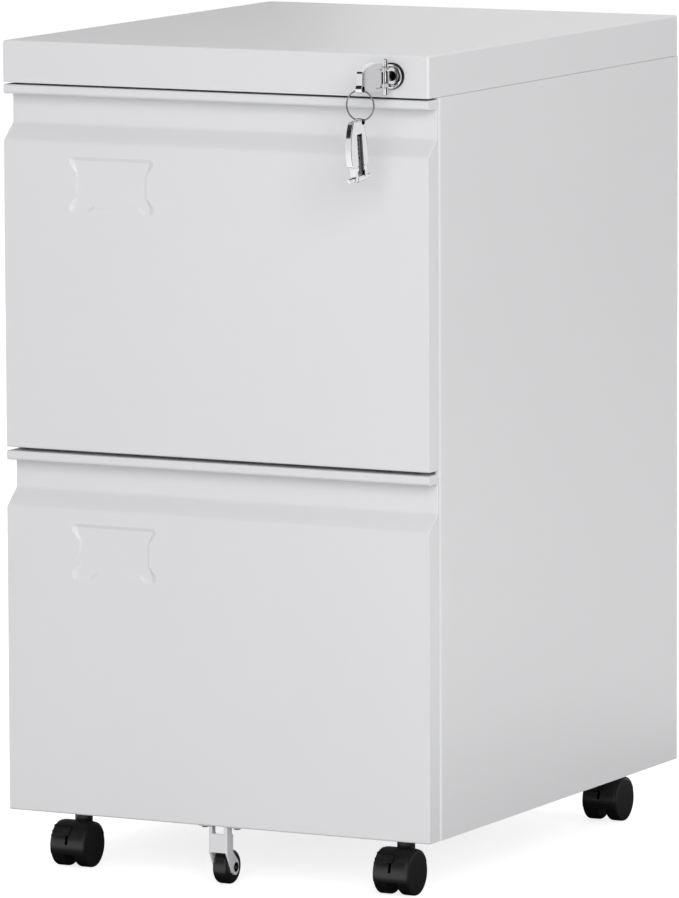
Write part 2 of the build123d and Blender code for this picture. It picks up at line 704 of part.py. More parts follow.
def caster_hood():
    """Hood over both wheels with the neck, the web that carries the axle and the brake's slot."""
    to_wheel = Pos(0, -TRAIL, WHEEL_RADIUS)
    hood = hood_shell()
    inner = HOOD_RADII[0]
    web_angles = (HOOD_ANGLES[0] + 50, HOOD_ANGLES[1])
    hood += ring_sector((inner - 8.0, inner + 0.3), web_angles, -WEB_HALF, WEB_HALF)
    hood += bar_x(inner - 8.0 + 0.3, -WEB_HALF, WEB_HALF, 0, 0) - block(-9, 9, -20, 20, -20, -5)
    hood = to_wheel * hood
    neck = bar_z(NECK_RADIUS, 0, 0, WHEEL_RADIUS, NECK_TOP)
    neck = fillet(neck.edges().group_by(Axis.Z)[-1], 0.6)
    neck -= bar_x(inner, -20, 20, -TRAIL, WHEEL_RADIUS)
    hood += neck
    hood -= to_wheel * ring_sector((inner - 4.0, 25.0), SLOT_ANGLES, -1.2, 1.2)
    hood -= to_wheel * bar_x(AXLE_RADIUS + AXLE_FIT, -20, 20, 0, 0)
    return hood - bar_z(STEM_RADIUS + STEM_FIT, 0, 0, NECK_TOP - 10.4, NECK_TOP + 1)


def caster_wheels():
    """Two wheels with rounded treads and dished outer faces, and their axle."""
    low, high = WHEEL_X
    wheels = []
    for side in (-1, 1):
        wheel = bar_x(WHEEL_RADIUS, low, high, -TRAIL, WHEEL_RADIUS)
        rims = wheel.edges().filter_by(GeomType.CIRCLE)
        wheel = fillet(rims.sort_by(Axis.X)[0], WHEEL_EDGES[0])
        outer = wheel.edges().filter_by(GeomType.CIRCLE).sort_by(Axis.X)[-1]
        wheel = fillet(outer, WHEEL_EDGES[1])
        wheel -= bar_x(AXLE_RADIUS, low - 1, high - 3.0, -TRAIL, WHEEL_RADIUS)
        wheels.append(wheel if side > 0 else mirrored(wheel))
    axle = bar_x(AXLE_RADIUS, 3.0 - high, high - 3.0, -TRAIL, WHEEL_RADIUS)
    return [*wheels, axle]


def caster_brake():
    """Sliding brake tab on the hood, ridged for the toe and cut round the slot that holds its stud."""
    surface = HOOD_RADII[1] + 0.3
    plate, ridge = (surface + height for height in BRAKE_HEIGHTS)
    low, step, high = BRAKE_ANGLES
    left, notch, right = BRAKE_X
    tab = ring_sector((surface, plate), (step, high), left, right)
    tab += ring_sector((surface, plate), (low, step + 0.5), left, notch)
    for start in BRAKE_RIDGES:
        end = notch if start < step else right
        tab += ring_sector((surface + 0.4, ridge), (start, start + RIDGE_ANGLE), left, end)
    tab += ring_sector((HOOD_RADII[0] - 2.5, plate), STUD_ANGLES, -0.9, 0.9)
    return Pos(0, -TRAIL, WHEEL_RADIUS) * tab


def caster_stem():
    """Stem with its pin in the hood, a collar under the base and a threaded end."""
    stem = bar_z(STEM_RADIUS, 0, 0, NECK_TOP - 10.0, NECK_TOP + 0.2)
    stem += bar_z(NECK_RADIUS, 0, 0, NECK_TOP + 0.2, BODY_Z)
    return stem + bar_z(STEM_RADIUS + 0.5, 0, 0, BODY_Z, BODY_Z + 11.0)


def caster_nut():
    """Nut on the stem, above the base sheet."""
    z = BODY_Z + SHEET
    return hexagon_z(13.0, 0, 0, z, z + 6.5) - bar_z(STEM_RADIUS + 0.5, 0, 0, z - 1, z + 8)


# Guide wheel under the lower drawer


def guide_arm():
    """Right fork arm of the bracket, from the front fold down to the axle."""
    axle_z = GUIDE_RADIUS + GUIDE_LIFT
    y0, y1 = BRACKET_Y
    low, high = WEB_Z
    reach = ARM_RADIUS * math.sqrt(0.5)
    points = [
        (y0, BODY_Z - EAR_SHEET / 2),
        (y0, low),
        (GUIDE_Y - ARM_RADIUS, axle_z - reach),
        (GUIDE_Y, axle_z - ARM_RADIUS - 2.0),
        (GUIDE_Y + ARM_RADIUS, axle_z - reach),
        (GUIDE_Y + ARM_RADIUS, axle_z + reach),
        (y1, low),
        (y1, high - 2.0),
        (y0 + WINDOW_FLANGE, high),
        (y0 + WINDOW_FLANGE, BODY_Z - EAR_SHEET / 2),
    ]
    radii = [0, 3.0, 2.6, 3.6, 2.6, 4.0, 4.0, 1.0, 1.0, 0]
    arm = along_x(outline(points, radii), BRACKET_HALF - BRACKET_SHEET, BRACKET_HALF)
    return arm - bar_x(RIVET_RADII[1], 0, 20, GUIDE_Y, axle_z)


def guide_bracket():
    """Folded bracket: two ears, a front web with a window above it, and fork arms."""
    y0, y1 = BRACKET_Y
    low, high = WEB_Z
    web = block(-BRACKET_HALF, BRACKET_HALF, y0, y0 + BRACKET_SHEET, low, BODY_Z - EAR_SHEET / 2)
    window = BRACKET_HALF - WINDOW_STRIP
    web -= block(-window, window, y0 - 1, y1, high, BODY_Z)
    ear = block(BRACKET_HALF - BRACKET_SHEET, EAR_REACH, y0 + 2.0, y1, BODY_Z - EAR_SHEET, BODY_Z)
    ear = fillet(ear.edges().filter_by(Axis.Z).filter_by(lambda e: e.center().X > BRACKET_HALF), 3.0)
    ear -= bar_z(2.2, *EAR_SCREW, 0, HEIGHT)
    side = guide_arm() + ear
    bracket = web + side + mirrored(side)
    folds = bracket.edges().filter_by(Axis.Z).filter_by(lambda e: e.center().Y < y0 + 0.01)
    outer = folds.filter_by(lambda e: abs(e.center().X) > BRACKET_HALF - 0.01)
    return Pos(GUIDE_X, 0, 0) * fillet(outer, BRACKET_CORNER)


def guide_screws():
    """Two pan-head screws up through the bracket's ears into the front's bottom edge."""
    radius, height = SCREW_HEAD
    under = BODY_Z - EAR_SHEET
    screws = []
    for side in (-1, 1):
        x, y = GUIDE_X + side * EAR_SCREW[0], EAR_SCREW[1]
        head = fillet(bar_z(radius, x, y, under - height, under).edges().group_by(Axis.Z)[0], 0.8)
        screws.append(head + bar_z(2.0, x, y, under, BODY_Z + 8.0))
    return screws


def guide_axle():
    """Semi-tubular rivet through the fork and the wheel, with blind bores and thin rims."""
    hole, radius = RIVET_RADII
    z = GUIDE_RADIUS + GUIDE_LIFT
    reach = BRACKET_HALF + 0.1
    axle = bar_x(radius, -reach, reach, GUIDE_Y, z)
    for side in (-1, 1):
        axle += bar_x(radius + 0.5, side * reach, side * (reach + 0.3), GUIDE_Y, z)
        axle -= bar_x(hole, side * (reach - RIVET_DEPTH), side * (reach + 1), GUIDE_Y, z)
    return Pos(GUIDE_X, 0, 0) * axle


def guide_wheel():
    """Small black wheel with rounded shoulders."""
    z = GUIDE_RADIUS + GUIDE_LIFT
    wheel = bar_x(GUIDE_RADIUS, -GUIDE_WIDTH / 2, GUIDE_WIDTH / 2, GUIDE_Y, z)
    wheel = fillet(wheel.edges().filter_by(GeomType.CIRCLE), GUIDE_SHOULDER)
    return Pos(GUIDE_X, 0, 0) * (wheel - bar_x(RIVET_RADII[1] + AXLE_FIT, -20, 20, GUIDE_Y, z))


# Write every piece

right_panel = side_panel()
save("side_panel_right", right_panel)
save("side_panel_left", mirrored(right_panel))
save("back_panel", back_panel())
save("bottom_panel", bottom_panel())
save("top_cover", top_cover())
save("top_rail", top_rail())
save("rear_rail", rear_rail())
save("middle_rail", middle_rail())
save("bumpers", *bumpers())

for drawer, z0 in DRAWERS.items():
    front = drawer_front(z0)
    if drawer == "lower":
        for side in (-1, 1):
            front -= bar_z(2.05, GUIDE_X + side * EAR_SCREW[0], EAR_SCREW[1], z0 - 1, z0 + 2)
    save(f"{drawer}_drawer_front", front)
    save(f"{drawer}_drawer_liner", drawer_liner(z0))
    save(f"{drawer}_drawer_screws", *front_screws(z0))
    right_side = drawer_side(z0)
    save(f"{drawer}_drawer_side_right", right_side)
    save(f"{drawer}_drawer_side_left", mirrored(right_side))
    save(f"{drawer}_drawer_bottom", drawer_bottom(z0))
    save(f"{drawer}_drawer_back", drawer_back(z0))
    save(f"{drawer}_file_rails", *file_rails(z0))
    for member, shape in slide_members(z0).items():
        save(f"{drawer}_slide_{member}", shape, mirrored(shape))

save("lock_housing", lock_housing())
save("lock_nut", lock_nut())
save("lock_plug", lock_plug())
save("lock_rod", lock_rod())
save("lock_bar", lock_bar())
save("lock_bar_guides", *lock_bar_guides())
save("key_blade", IN_LOCK * key_blade())
save("key_head", IN_LOCK * key_head())
save("key_ring", key_ring())
save("spare_key_head", ON_RING * key_head())
save("spare_key_blade", ON_RING * folded_blade())

stems = []
for end, y in SWIVEL_Y.items():
    for side, sign in SIDES.items():
        here = Pos(sign * CASTER_X, y, 0)
        save(f"caster_{end}_{side}_hood", here * caster_hood())
        save(f"caster_{end}_{side}_wheels", *[here * solid for solid in caster_wheels()])
        save(f"caster_{end}_{side}_brake", here * caster_brake())
        stems += [here * caster_stem(), here * caster_nut()]
save("caster_stems", *stems)

save("guide_wheel_bracket", guide_bracket())
save("guide_wheel_screws", *guide_screws())
save("guide_wheel_axle", guide_axle())
save("guide_wheel", guide_wheel())
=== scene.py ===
"""Finishes and the studio for a light grey metal filing pedestal."""

import json
import math

import bmesh
import bpy
from mathutils import Matrix, Vector


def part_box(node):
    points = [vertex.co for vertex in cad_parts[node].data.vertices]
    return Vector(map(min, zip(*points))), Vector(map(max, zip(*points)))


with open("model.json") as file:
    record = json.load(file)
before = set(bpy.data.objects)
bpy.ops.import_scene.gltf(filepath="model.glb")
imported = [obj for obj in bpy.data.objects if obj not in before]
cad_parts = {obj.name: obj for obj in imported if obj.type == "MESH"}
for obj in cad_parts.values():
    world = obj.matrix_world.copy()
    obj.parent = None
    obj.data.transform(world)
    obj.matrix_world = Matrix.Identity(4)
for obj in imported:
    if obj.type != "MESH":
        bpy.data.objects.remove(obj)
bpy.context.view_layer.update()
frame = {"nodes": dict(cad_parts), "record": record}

bl_info = {
    "name": "Filing pedestal",
    "version": (1, 0, 0),
    "blender": (4, 5, 0),
    "location": "View3D > Sidebar > Pedestal",
    "description": "Dresses the filing pedestal and sets up its studio",
    "category": "Object",
}

MM = 0.001
FRONT_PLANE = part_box("top_cover")[0].y
JOINTS = {joint["name"]: joint for joint in frame["record"]["behaviour"]["joints"]}
SLOT_OF = {entry["node"]: entry["material_slot"] for entry in frame["record"]["subparts"]}


# Settings that a user would change


class PedestalFinish(bpy.types.PropertyGroup):
    """Colours and gloss of the finishes."""

    paint: bpy.props.FloatVectorProperty(
        name="Paint",
        description="Colour of the powder coat",
        subtype="COLOR",
        size=3,
        min=0.0,
        max=1.0,
        default=(0.725, 0.725, 0.737),
    )
    paint_roughness: bpy.props.FloatProperty(
        name="Paint roughness",
        description="How dull the powder coat is",
        subtype="FACTOR",
        min=0.0,
        max=1.0,
        default=0.38,
    )
    plastic: bpy.props.FloatVectorProperty(
        name="Black plastic",
        description="Colour of the casters' nylon",
        subtype="COLOR",
        size=3,
        min=0.0,
        max=1.0,
        default=(0.008, 0.008, 0.0083),
    )
    plastic_roughness: bpy.props.FloatProperty(
        name="Plastic roughness",
        description="How dull the casters' nylon is",
        subtype="FACTOR",
        min=0.0,
        max=1.0,
        default=0.32,
    )
    chrome: bpy.props.FloatVectorProperty(
        name="Chrome",
        description="Colour of the plated lock and keys",
        subtype="COLOR",
        size=3,
        min=0.0,
        max=1.0,
        default=(0.70, 0.70, 0.71),
    )
    blade: bpy.props.FloatVectorProperty(
        name="Key blade",
        description="Colour of the keys' dark nickel blades",
        subtype="COLOR",
        size=3,
        min=0.0,
        max=1.0,
        default=(0.10, 0.10, 0.105),
    )
    steel: bpy.props.FloatVectorProperty(
        name="Plated steel",
        description="Colour of the slides and hidden fittings",
        subtype="COLOR",
        size=3,
        min=0.0,
        max=1.0,
        default=(0.60, 0.61, 0.62),
    )


class PedestalStudio(bpy.types.PropertyGroup):
    """Camera, lamps and backdrop."""

    camera_from_front: bpy.props.FloatVectorProperty(
        name="Camera place",
        description="Camera from the middle of the front plane's foot",
        subtype="TRANSLATION",
        unit="LENGTH",
        size=3,
        default=(3.0997, -5.8160, 1.1975),
    )
    camera_turn: bpy.props.FloatVectorProperty(
        name="Camera turn",
        description="Yaw, pitch and roll of the camera",
        subtype="EULER",
        unit="ROTATION",
        size=3,
        default=(math.radians(27.198), math.radians(7.317), math.radians(-0.219)),
    )
    lens: bpy.props.FloatProperty(
        name="Lens",
        description="Focal length on a 36 mm frame, in millimetres",
        min=20.0,
        max=800.0,
        default=336.3,
    )
    ambient: bpy.props.FloatProperty(
        name="Ambient",
        description="Strength of the even light from all round",
        min=0.0,
        max=2.0,
        default=0.40,
    )
    key_power: bpy.props.FloatProperty(
        name="Key lamp",
        description="Power of the broad lamp above the camera",
        unit="POWER",
        min=0.0,
        max=2000.0,
        default=63.0,
    )
    fill_power: bpy.props.FloatProperty(
        name="Fill lamp",
        description="Power of the low lamp beside the camera",
        unit="POWER",
        min=0.0,
        max=2000.0,
        default=20.0,
    )
    top_power: bpy.props.FloatProperty(
        name="Top lamp",
        description="Power of the lamp overhead",
        unit="POWER",
        min=0.0,
        max=2000.0,
        default=12.0,
    )
    side_power: bpy.props.FloatProperty(
        name="Side lamp",
        description="Power of the lamp to the right",
        unit="POWER",
        min=0.0,
        max=2000.0,
        default=21.0,
    )
    back_power: bpy.props.FloatProperty(
        name="Back lamp",
        description="Power of the lamp behind",
        unit="POWER",
        min=0.0,
        max=2000.0,
        default=32.0,
    )
    floor_lift: bpy.props.FloatProperty(
        name="Floor lift",
        description="Glow that keeps the floor white to look at",
        min=0.0,
        max=2.0,
        default=0.78,
    )
    floor_colour: bpy.props.FloatVectorProperty(
        name="Floor",
        description="Colour of the floor",
        subtype="COLOR",
        size=3,
        min=0.0,
        max=1.0,
        default=(0.60, 0.60, 0.60),
    )


# Shader node groups

GRAIN_DETAIL = 2.0
MOTTLE_DETAIL = 3.0
LINE_DETAIL = 3.0
DUST_DETAIL = 4.0

# Dust lies on faces whose normal rises by more than this
DUST_RISE = 0.2

# Shares of open sky at which the painted crevice shade is full and where it ends
CREVICE_SKY = (0.3, 0.8)
CREVICE_SAMPLES = 8


def new_group(name, inputs, outputs):
    """An empty shader group with float or vector inputs and float outputs, and its end nodes."""
    group = bpy.data.node_groups.new(name, "ShaderNodeTree")
    for label, default in inputs:
        kind = "NodeSocketVector" if isinstance(default, tuple) else "NodeSocketFloat"
        socket = group.interface.new_socket(label, in_out="INPUT", socket_type=kind)
        socket.default_value = default
    for label in outputs:
        group.interface.new_socket(label, in_out="OUTPUT", socket_type="NodeSocketFloat")
    return group, group.nodes.new("NodeGroupInput"), group.nodes.new("NodeGroupOutput")


def plug(tree, source, socket):
    """Links a socket to a source socket, or sets it to a value."""
    if isinstance(source, bpy.types.NodeSocket):
        tree.links.new(source, socket)
    else:
        socket.default_value = source


def linked(tree, kind, **sources):
    """A new node whose named inputs are linked to sockets or set to values."""
    node = tree.nodes.new(kind)
    for label, source in sources.items():
        plug(tree, source, node.inputs[label.replace("_", " ")])
    return node


def worked_out(tree, kind, operation, *sources):
    """A new math node that works on sockets or values, in the order of its inputs."""
    node = tree.nodes.new(kind)
    node.operation = operation
    for source, socket in zip(sources, node.inputs):
        plug(tree, source, socket)
    return node


def object_place(tree):
    """The place of the shaded point in the object's own frame."""
    return tree.nodes.new("ShaderNodeTexCoord").outputs["Object"]


def grain_group():
    """Fine even grain with a slow mottle, for powder coat and moulded plastic."""
    inputs = (("Grain scale", 900.0), ("Mottle scale", 9.0))
    group, start, end = new_group("Fine grain", inputs, ("Height", "Mottle"))
    place = object_place(group)
    layers = (("Grain scale", GRAIN_DETAIL, "Height"), ("Mottle scale", MOTTLE_DETAIL, "Mottle"))
    for scale, detail, result in layers:
        noise = linked(
            group, "ShaderNodeTexNoise", Vector=place, Scale=start.outputs[scale], Detail=detail
        )
        group.links.new(noise.outputs["Fac"], end.inputs[result])
    return group


def drawn_group():
    """Fine lines along the drawing direction of rolled steel and wire."""
    inputs = (("Line scale", 1500.0), ("Stretch", 0.02))
    group, start, end = new_group("Drawn lines", inputs, ("Lines",))
    stretch = linked(group, "ShaderNodeCombineXYZ", X=1.0, Y=start.outputs["Stretch"], Z=1.0)
    drawn = worked_out(
        group, "ShaderNodeVectorMath", "MULTIPLY", object_place(group), stretch.outputs["Vector"]
    )
    lines = linked(
        group,
        "ShaderNodeTexNoise",
        Vector=drawn.outputs["Vector"],
        Scale=start.outputs["Line scale"],
        Detail=LINE_DETAIL,
    )
    group.links.new(lines.outputs["Fac"], end.inputs["Lines"])
    return group


def dust_group():
    """A thin film that settles on faces that look up, broken by noise."""
    inputs = (("Amount", 0.1), ("Patch scale", 40.0))
    group, start, end = new_group("Settled dust", inputs, ("Mask",))
    normal = group.nodes.new("ShaderNodeNewGeometry").outputs["Normal"]
    rise = linked(group, "ShaderNodeSeparateXYZ", Vector=normal).outputs["Z"]
    facing = linked(group, "ShaderNodeMapRange", Value=rise, From_Min=DUST_RISE)
    patches = linked(
        group,
        "ShaderNodeTexNoise",
        Vector=object_place(group),
        Scale=start.outputs["Patch scale"],
        Detail=DUST_DETAIL,
    )
    film = worked_out(
        group, "ShaderNodeMath", "MULTIPLY", facing.outputs["Result"], patches.outputs["Fac"]
    )
    mask = worked_out(
        group, "ShaderNodeMath", "MULTIPLY", film.outputs["Value"], start.outputs["Amount"]
    )
    group.links.new(mask.outputs["Value"], end.inputs["Mask"])
    return group


def crevice_group():
    """Mask for painted shade: 1 in grooves and corners that little light reaches, and 0 on open faces."""
    group, start, end = new_group("Crevice", (("Reach", 4.0 * MM),), ("Mask",))
    shelter = linked(group, "ShaderNodeAmbientOcclusion", Distance=start.outputs["Reach"])
    shelter.samples = CREVICE_SAMPLES
    dark, clear = CREVICE_SKY
    mask = linked(
        group,
        "ShaderNodeMapRange",
        Value=shelter.outputs["AO"],
        From_Min=dark,
        From_Max=clear,
        To_Min=1.0,
        To_Max=0.0,
    )
    group.links.new(mask.outputs["Result"], end.inputs["Mask"])
    return group


def axis_group():
    """1 within a radius of an axis, and 0 beyond it."""
    inputs = (("Point", (0.0, 0.0, 0.0)), ("Direction", (0.0, 0.0, 1.0)), ("Radius", 3.0 * MM))
    group, start, end = new_group("Near an axis", inputs, ("Mask",))
    away = worked_out(
        group, "ShaderNodeVectorMath", "SUBTRACT", object_place(group), start.outputs["Point"]
    )
    across = worked_out(
        group, "ShaderNodeVectorMath", "CROSS_PRODUCT", away.outputs["Vector"], start.outputs["Direction"]
    )
    distance = worked_out(group, "ShaderNodeVectorMath", "LENGTH", across.outputs["Vector"])
    near = worked_out(
        group, "ShaderNodeMath", "LESS_THAN", distance.outputs["Value"], start.outputs["Radius"]
    )
    group.links.new(near.outputs["Value"], end.inputs["Mask"])
    return group


GROUP_MAKERS = {
    "Fine grain": grain_group,
    "Drawn lines": drawn_group,
    "Settled dust": dust_group,
    "Crevice": crevice_group,
    "Near an axis": axis_group,
}


def placed_group(material, name, **values):
    """A shared group placed in a material with its own values."""
    group = bpy.data.node_groups.get(name) or GROUP_MAKERS[name]()
    node = material.node_tree.nodes.new("ShaderNodeGroup")
    node.node_tree = group
    for label, value in values.items():
        node.inputs[label.replace("_", " ")].default_value = value
    return node


# Materials

# Near-black painted shade, for crevices and for the dark bands round some axes
PAINTED_SHADE_BLACK = (0.012, 0.012, 0.013)
PALE_DUST = (0.55, 0.54, 0.52)
PAINT_DUST_SHADE = 0.9
ZINC_SHADE = 0.93
CHROME_ROUGHNESS = 0.1
CHROME_STRETCH = 0.6
CHROME_RELIEF = 0.004 * MM

# Most of a noise's values lie between these
NOISE_RANGE = (0.2, 0.8)

# How far the mottle changes a colour and a roughness, and how strong the grain is
MOTTLE_TINT = 0.007
MOTTLE_ROUGHNESS = 0.012
GRAIN_STRENGTH = 0.5

# How far drawn lines change a colour and a roughness, and how strong they are
LINE_TINTS = (0.94, 1.05)
LINE_ROUGHNESS = 0.2
LINE_STRENGTH = 0.4

# Two-coloured nodes: the joint whose axis they lie round, the radius, and the colours within and beyond it
BANDS = {
    # Painted shade: the black bands are near-black on the bezel's side wall, in the plug's keyway and in the
    # axle's bore
    "lock_housing": ("lock_turn", 9.7 * MM, "chrome", "black"),
    "lock_plug": ("lock_turn", 4.0 * MM, "black", "chrome"),
    "guide_wheel_axle": ("guide_wheel_spin", 2.7 * MM, "black", "chrome"),
    "key_blade": ("key_fold", 3.1 * MM, "chrome", "blade"),
    "spare_key_blade": ("spare_fold", 3.1 * MM, "chrome", "blade"),
}


def new_material(name):
    """A material and its Principled shader."""
    material = bpy.data.materials.new(name)
    material.use_nodes = True
    return material, material.node_tree.nodes["Principled BSDF"]


def spread(material, value, low, high):
    """Maps a noise onto low to high."""
    least, most = NOISE_RANGE
    node = linked(
        material.node_tree,
        "ShaderNodeMapRange",
        Value=value,
        From_Min=least,
        From_Max=most,
        To_Min=low,
        To_Max=high,
    )
    return node.outputs["Result"]


def tinted(material, factor, low, high):
    """A colour between two, each a colour or a socket, by a factor."""
    mix = material.node_tree.nodes.new("ShaderNodeMix")
    mix.data_type = "RGBA"
    for label, source in (("Factor", factor), ("A", low), ("B", high)):
        opaque = (*source, 1.0) if isinstance(source, tuple) else source
        plug(material.node_tree, opaque, mix.inputs[label])
    return mix.outputs["Result"]


def bumped(material, shader, height, depth, strength):
    """Height as fine relief, in metres of depth."""
    bump = linked(
        material.node_tree, "ShaderNodeBump", Height=height, Distance=depth, Strength=strength
    )
    material.node_tree.links.new(bump.outputs["Normal"], shader.inputs["Normal"])


def shade(colour, factor):
    """A colour made darker or lighter."""
    return tuple(min(1.0, channel * factor) for channel in colour)


def moulded(name, colour, roughness, grain, relief, dust, bloom=PALE_DUST):
    """Grained finish of powder coat, nylon or rubber, with a little dust on top."""
    material, shader = new_material(name)
    links = material.node_tree.links
    texture = placed_group(material, "Fine grain", Grain_scale=grain)
    film = placed_group(material, "Settled dust", Amount=dust)
    mottle = spread(material, texture.outputs["Mottle"], 0.0, 1.0)
    body = tinted(material, mottle, shade(colour, 1.0 - MOTTLE_TINT), shade(colour, 1.0 + MOTTLE_TINT))
    links.new(tinted(material, film.outputs["Mask"], body, bloom), shader.inputs["Base Color"])
    dull = spread(
        material, texture.outputs["Mottle"], roughness - MOTTLE_ROUGHNESS, roughness + MOTTLE_ROUGHNESS
    )
    links.new(dull, shader.inputs["Roughness"])
    bumped(material, shader, texture.outputs["Height"], relief, GRAIN_STRENGTH)
    return material


def plated(name, colour, roughness, stretch, relief, band=None):
    """Plated or drawn metal with fine lines and painted shade in its crevices, of another colour past a
    band's radius.
    """
    material, shader = new_material(name)
    links = material.node_tree.links
    lines = placed_group(material, "Drawn lines", Stretch=stretch).outputs["Lines"]
    darker, lighter = LINE_TINTS
    tone = spread(material, lines, 0.0, 1.0)
    body = tinted(material, tone, shade(colour, darker), shade(colour, lighter))
    if band:
        joint, radius, beyond = band
        near = placed_group(
            material, "Near an axis", Point=joint["pos_m"], Direction=joint["axis"], Radius=radius
        )
        body = tinted(material, near.outputs["Mask"], beyond, body)
    # Painted shade: ambient occlusion darkens crevices towards near-black
    crevice_shade = placed_group(material, "Crevice").outputs["Mask"]
    links.new(tinted(material, crevice_shade, body, PAINTED_SHADE_BLACK), shader.inputs["Base Color"])
    smooth, dull = roughness * (1.0 - LINE_ROUGHNESS), roughness * (1.0 + LINE_ROUGHNESS)
    links.new(spread(material, lines, smooth, dull), shader.inputs["Roughness"])
    shader.inputs["Metallic"].default_value = 1.0
    bumped(material, shader, lines, relief, LINE_STRENGTH)
    return material


def powder_coat(name, look):
    """Light grey powder coat of the sheets and the bracket."""
    paint = tuple(look.paint)
    bloom = shade(paint, PAINT_DUST_SHADE)
    return moulded(name, paint, look.paint_roughness, grain=1400.0, relief=0.04 * MM, dust=0.02, bloom=bloom)


def black_nylon(name, look):
    """Black nylon of the casters and the guide wheel."""
    plastic = tuple(look.plastic)
    return moulded(name, plastic, look.plastic_roughness, grain=2200.0, relief=0.05 * MM, dust=0.003)


def white_nylon(name, look):
    """Natural nylon of the lock bar's guides."""
    return moulded(name, (0.72, 0.72, 0.68), roughness=0.5, grain=1800.0, relief=0.04 * MM, dust=0.02)


def rubber(name, look):
    """Black rubber of the drawers' bumpers."""
    return moulded(name, (0.03, 0.03, 0.03), roughness=0.75, grain=1600.0, relief=0.06 * MM, dust=0.06)


def black_steel(name, look):
    """Blackened steel of the bracket's screws."""
    return moulded(name, (0.02, 0.02, 0.021), roughness=0.32, grain=2400.0, relief=0.03 * MM, dust=0.02)


def lock_chrome(name, look):
    """Bright chrome of the lock and the keys' heads."""
    return plated(name, tuple(look.chrome), CHROME_ROUGHNESS, CHROME_STRETCH, CHROME_RELIEF)


def ring_steel(name, look):
    """Dark spring steel of the key ring."""
    return plated(name, (0.22, 0.22, 0.225), roughness=0.28, stretch=0.2, relief=0.006 * MM)


def slide_steel(name, look):
    """Rolled and plated steel of the slides."""
    return plated(name, tuple(look.steel), roughness=0.3, stretch=0.015, relief=0.01 * MM)


def zinc_steel(name, look):
    """Zinc plated steel of the hidden fittings and fasteners."""
    zinc = shade(tuple(look.steel), ZINC_SHADE)
    return plated(name, zinc, roughness=0.34, stretch=0.3, relief=0.01 * MM)


FINISHES = {
    "paint": powder_coat,
    "black_nylon": black_nylon,
    "white_nylon": white_nylon,
    "rubber": rubber,
    "black_steel": black_steel,
    "lock_chrome": lock_chrome,
    "ring_steel": ring_steel,
    "slide_steel": slide_steel,
    "zinc_steel": zinc_steel,
}


def finish_material(slot):
    """The material of one of the record's finish slots, made on first use."""
    name = f"finish_{slot}"
    return bpy.data.materials.get(name) or FINISHES[slot](name, bpy.context.scene.pedestal_finish)


def banded_material(node):
    """Chrome that turns to another colour at a radius from a joint's axis: the keys' dark blade, and
    near-black painted shade on the lock and the axle.
    """
    look = bpy.context.scene.pedestal_finish
    joint, radius, near, beyond = BANDS[node]
    colours = {"chrome": tuple(look.chrome), "blade": tuple(look.blade), "black": PAINTED_SHADE_BLACK}
    band = (JOINTS[joint], radius, colours[beyond])
    return plated(
        f"finish_{node}", colours[near], CHROME_ROUGHNESS, CHROME_STRETCH, CHROME_RELIEF, band
    )


def dress(nodes):
    """Gives CAD nodes the finish of their slot, or their own banded chrome."""
    for name in nodes:
        mesh = frame["nodes"][name].data
        mesh.materials.clear()
        mesh.materials.append(banded_material(name) if name in BANDS else finish_material(SLOT_OF[name]))


# Operators

FITTING_SLOTS = (
    "lock_chrome",
    "blade_nickel",
    "ring_steel",
    "zinc_steel",
    "black_steel",
    "white_nylon",
    "rubber",
)


class PEDESTAL_OT_paint_sheets(bpy.types.Operator):
    """Powder coat on the carcass, drawers and bracket"""

    bl_idname = "pedestal.paint_sheets"
    bl_label = "Paint sheets"

    def execute(self, context):
        dress(node for node, slot in SLOT_OF.items() if slot == "paint")
        return {"FINISHED"}


class PEDESTAL_OT_finish_fittings(bpy.types.Operator):
    """Finish of the lock, keys, hidden fittings and fasteners"""

    bl_idname = "pedestal.finish_fittings"
    bl_label = "Finish fittings"

    def execute(self, context):
        dress(node for node, slot in SLOT_OF.items() if slot in FITTING_SLOTS)
        return {"FINISHED"}


class PEDESTAL_OT_finish_slides(bpy.types.Operator):
    """Finish of the telescopic slides"""

    bl_idname = "pedestal.finish_slides"
    bl_label = "Finish slides"

    def execute(self, context):
        dress(node for node, slot in SLOT_OF.items() if slot == "slide_steel")
        return {"FINISHED"}


class PEDESTAL_OT_finish_casters(bpy.types.Operator):
    """Finish of the casters and the guide wheel"""

    bl_idname = "pedestal.finish_casters"
    bl_label = "Finish casters"

    def execute(self, context):
        dress(node for node, slot in SLOT_OF.items() if slot == "black_nylon")
        return {"FINISHED"}


class PEDESTAL_OT_set_stage(bpy.types.Operator):
    """Floor, backdrop, lamps and camera"""

    bl_idname = "pedestal.set_stage"
    bl_label = "Set stage"

    def execute(self, context):
        studio = context.scene.pedestal_studio
        context.scene.view_settings.view_transform = "Standard"
        make_world(studio)
        make_floor(studio)
        make_lamps(studio)
        make_boards()
        make_camera(studio)
        return {"FINISHED"}


# Studio

WHITE = (1.0, 1.0, 1.0, 1.0)
FLOOR_REACH = 40.0
FLOOR_DROP = 0.2 * MM
FLOOR_ROUGHNESS = 0.9
CAMERA_REACH = 200.0
LAMP_TARGET = (0.0, 0.0, 0.35)

# Soft lamps: the middle and the size of each, whose powers are among the settings
LAMPS = {
    "key": ((1.75, -3.0, 1.85), (3.0, 1.6)),
    "fill": ((1.0, -3.3, 0.75), (2.4, 1.0)),
    "top": ((0.0, 0.1, 3.0), (2.0, 2.0)),
    "side": ((3.5, 0.3, 0.9), (2.0, 1.5)),
    "back": ((-1.0, 3.5, 1.5), (2.0, 1.5)),
}

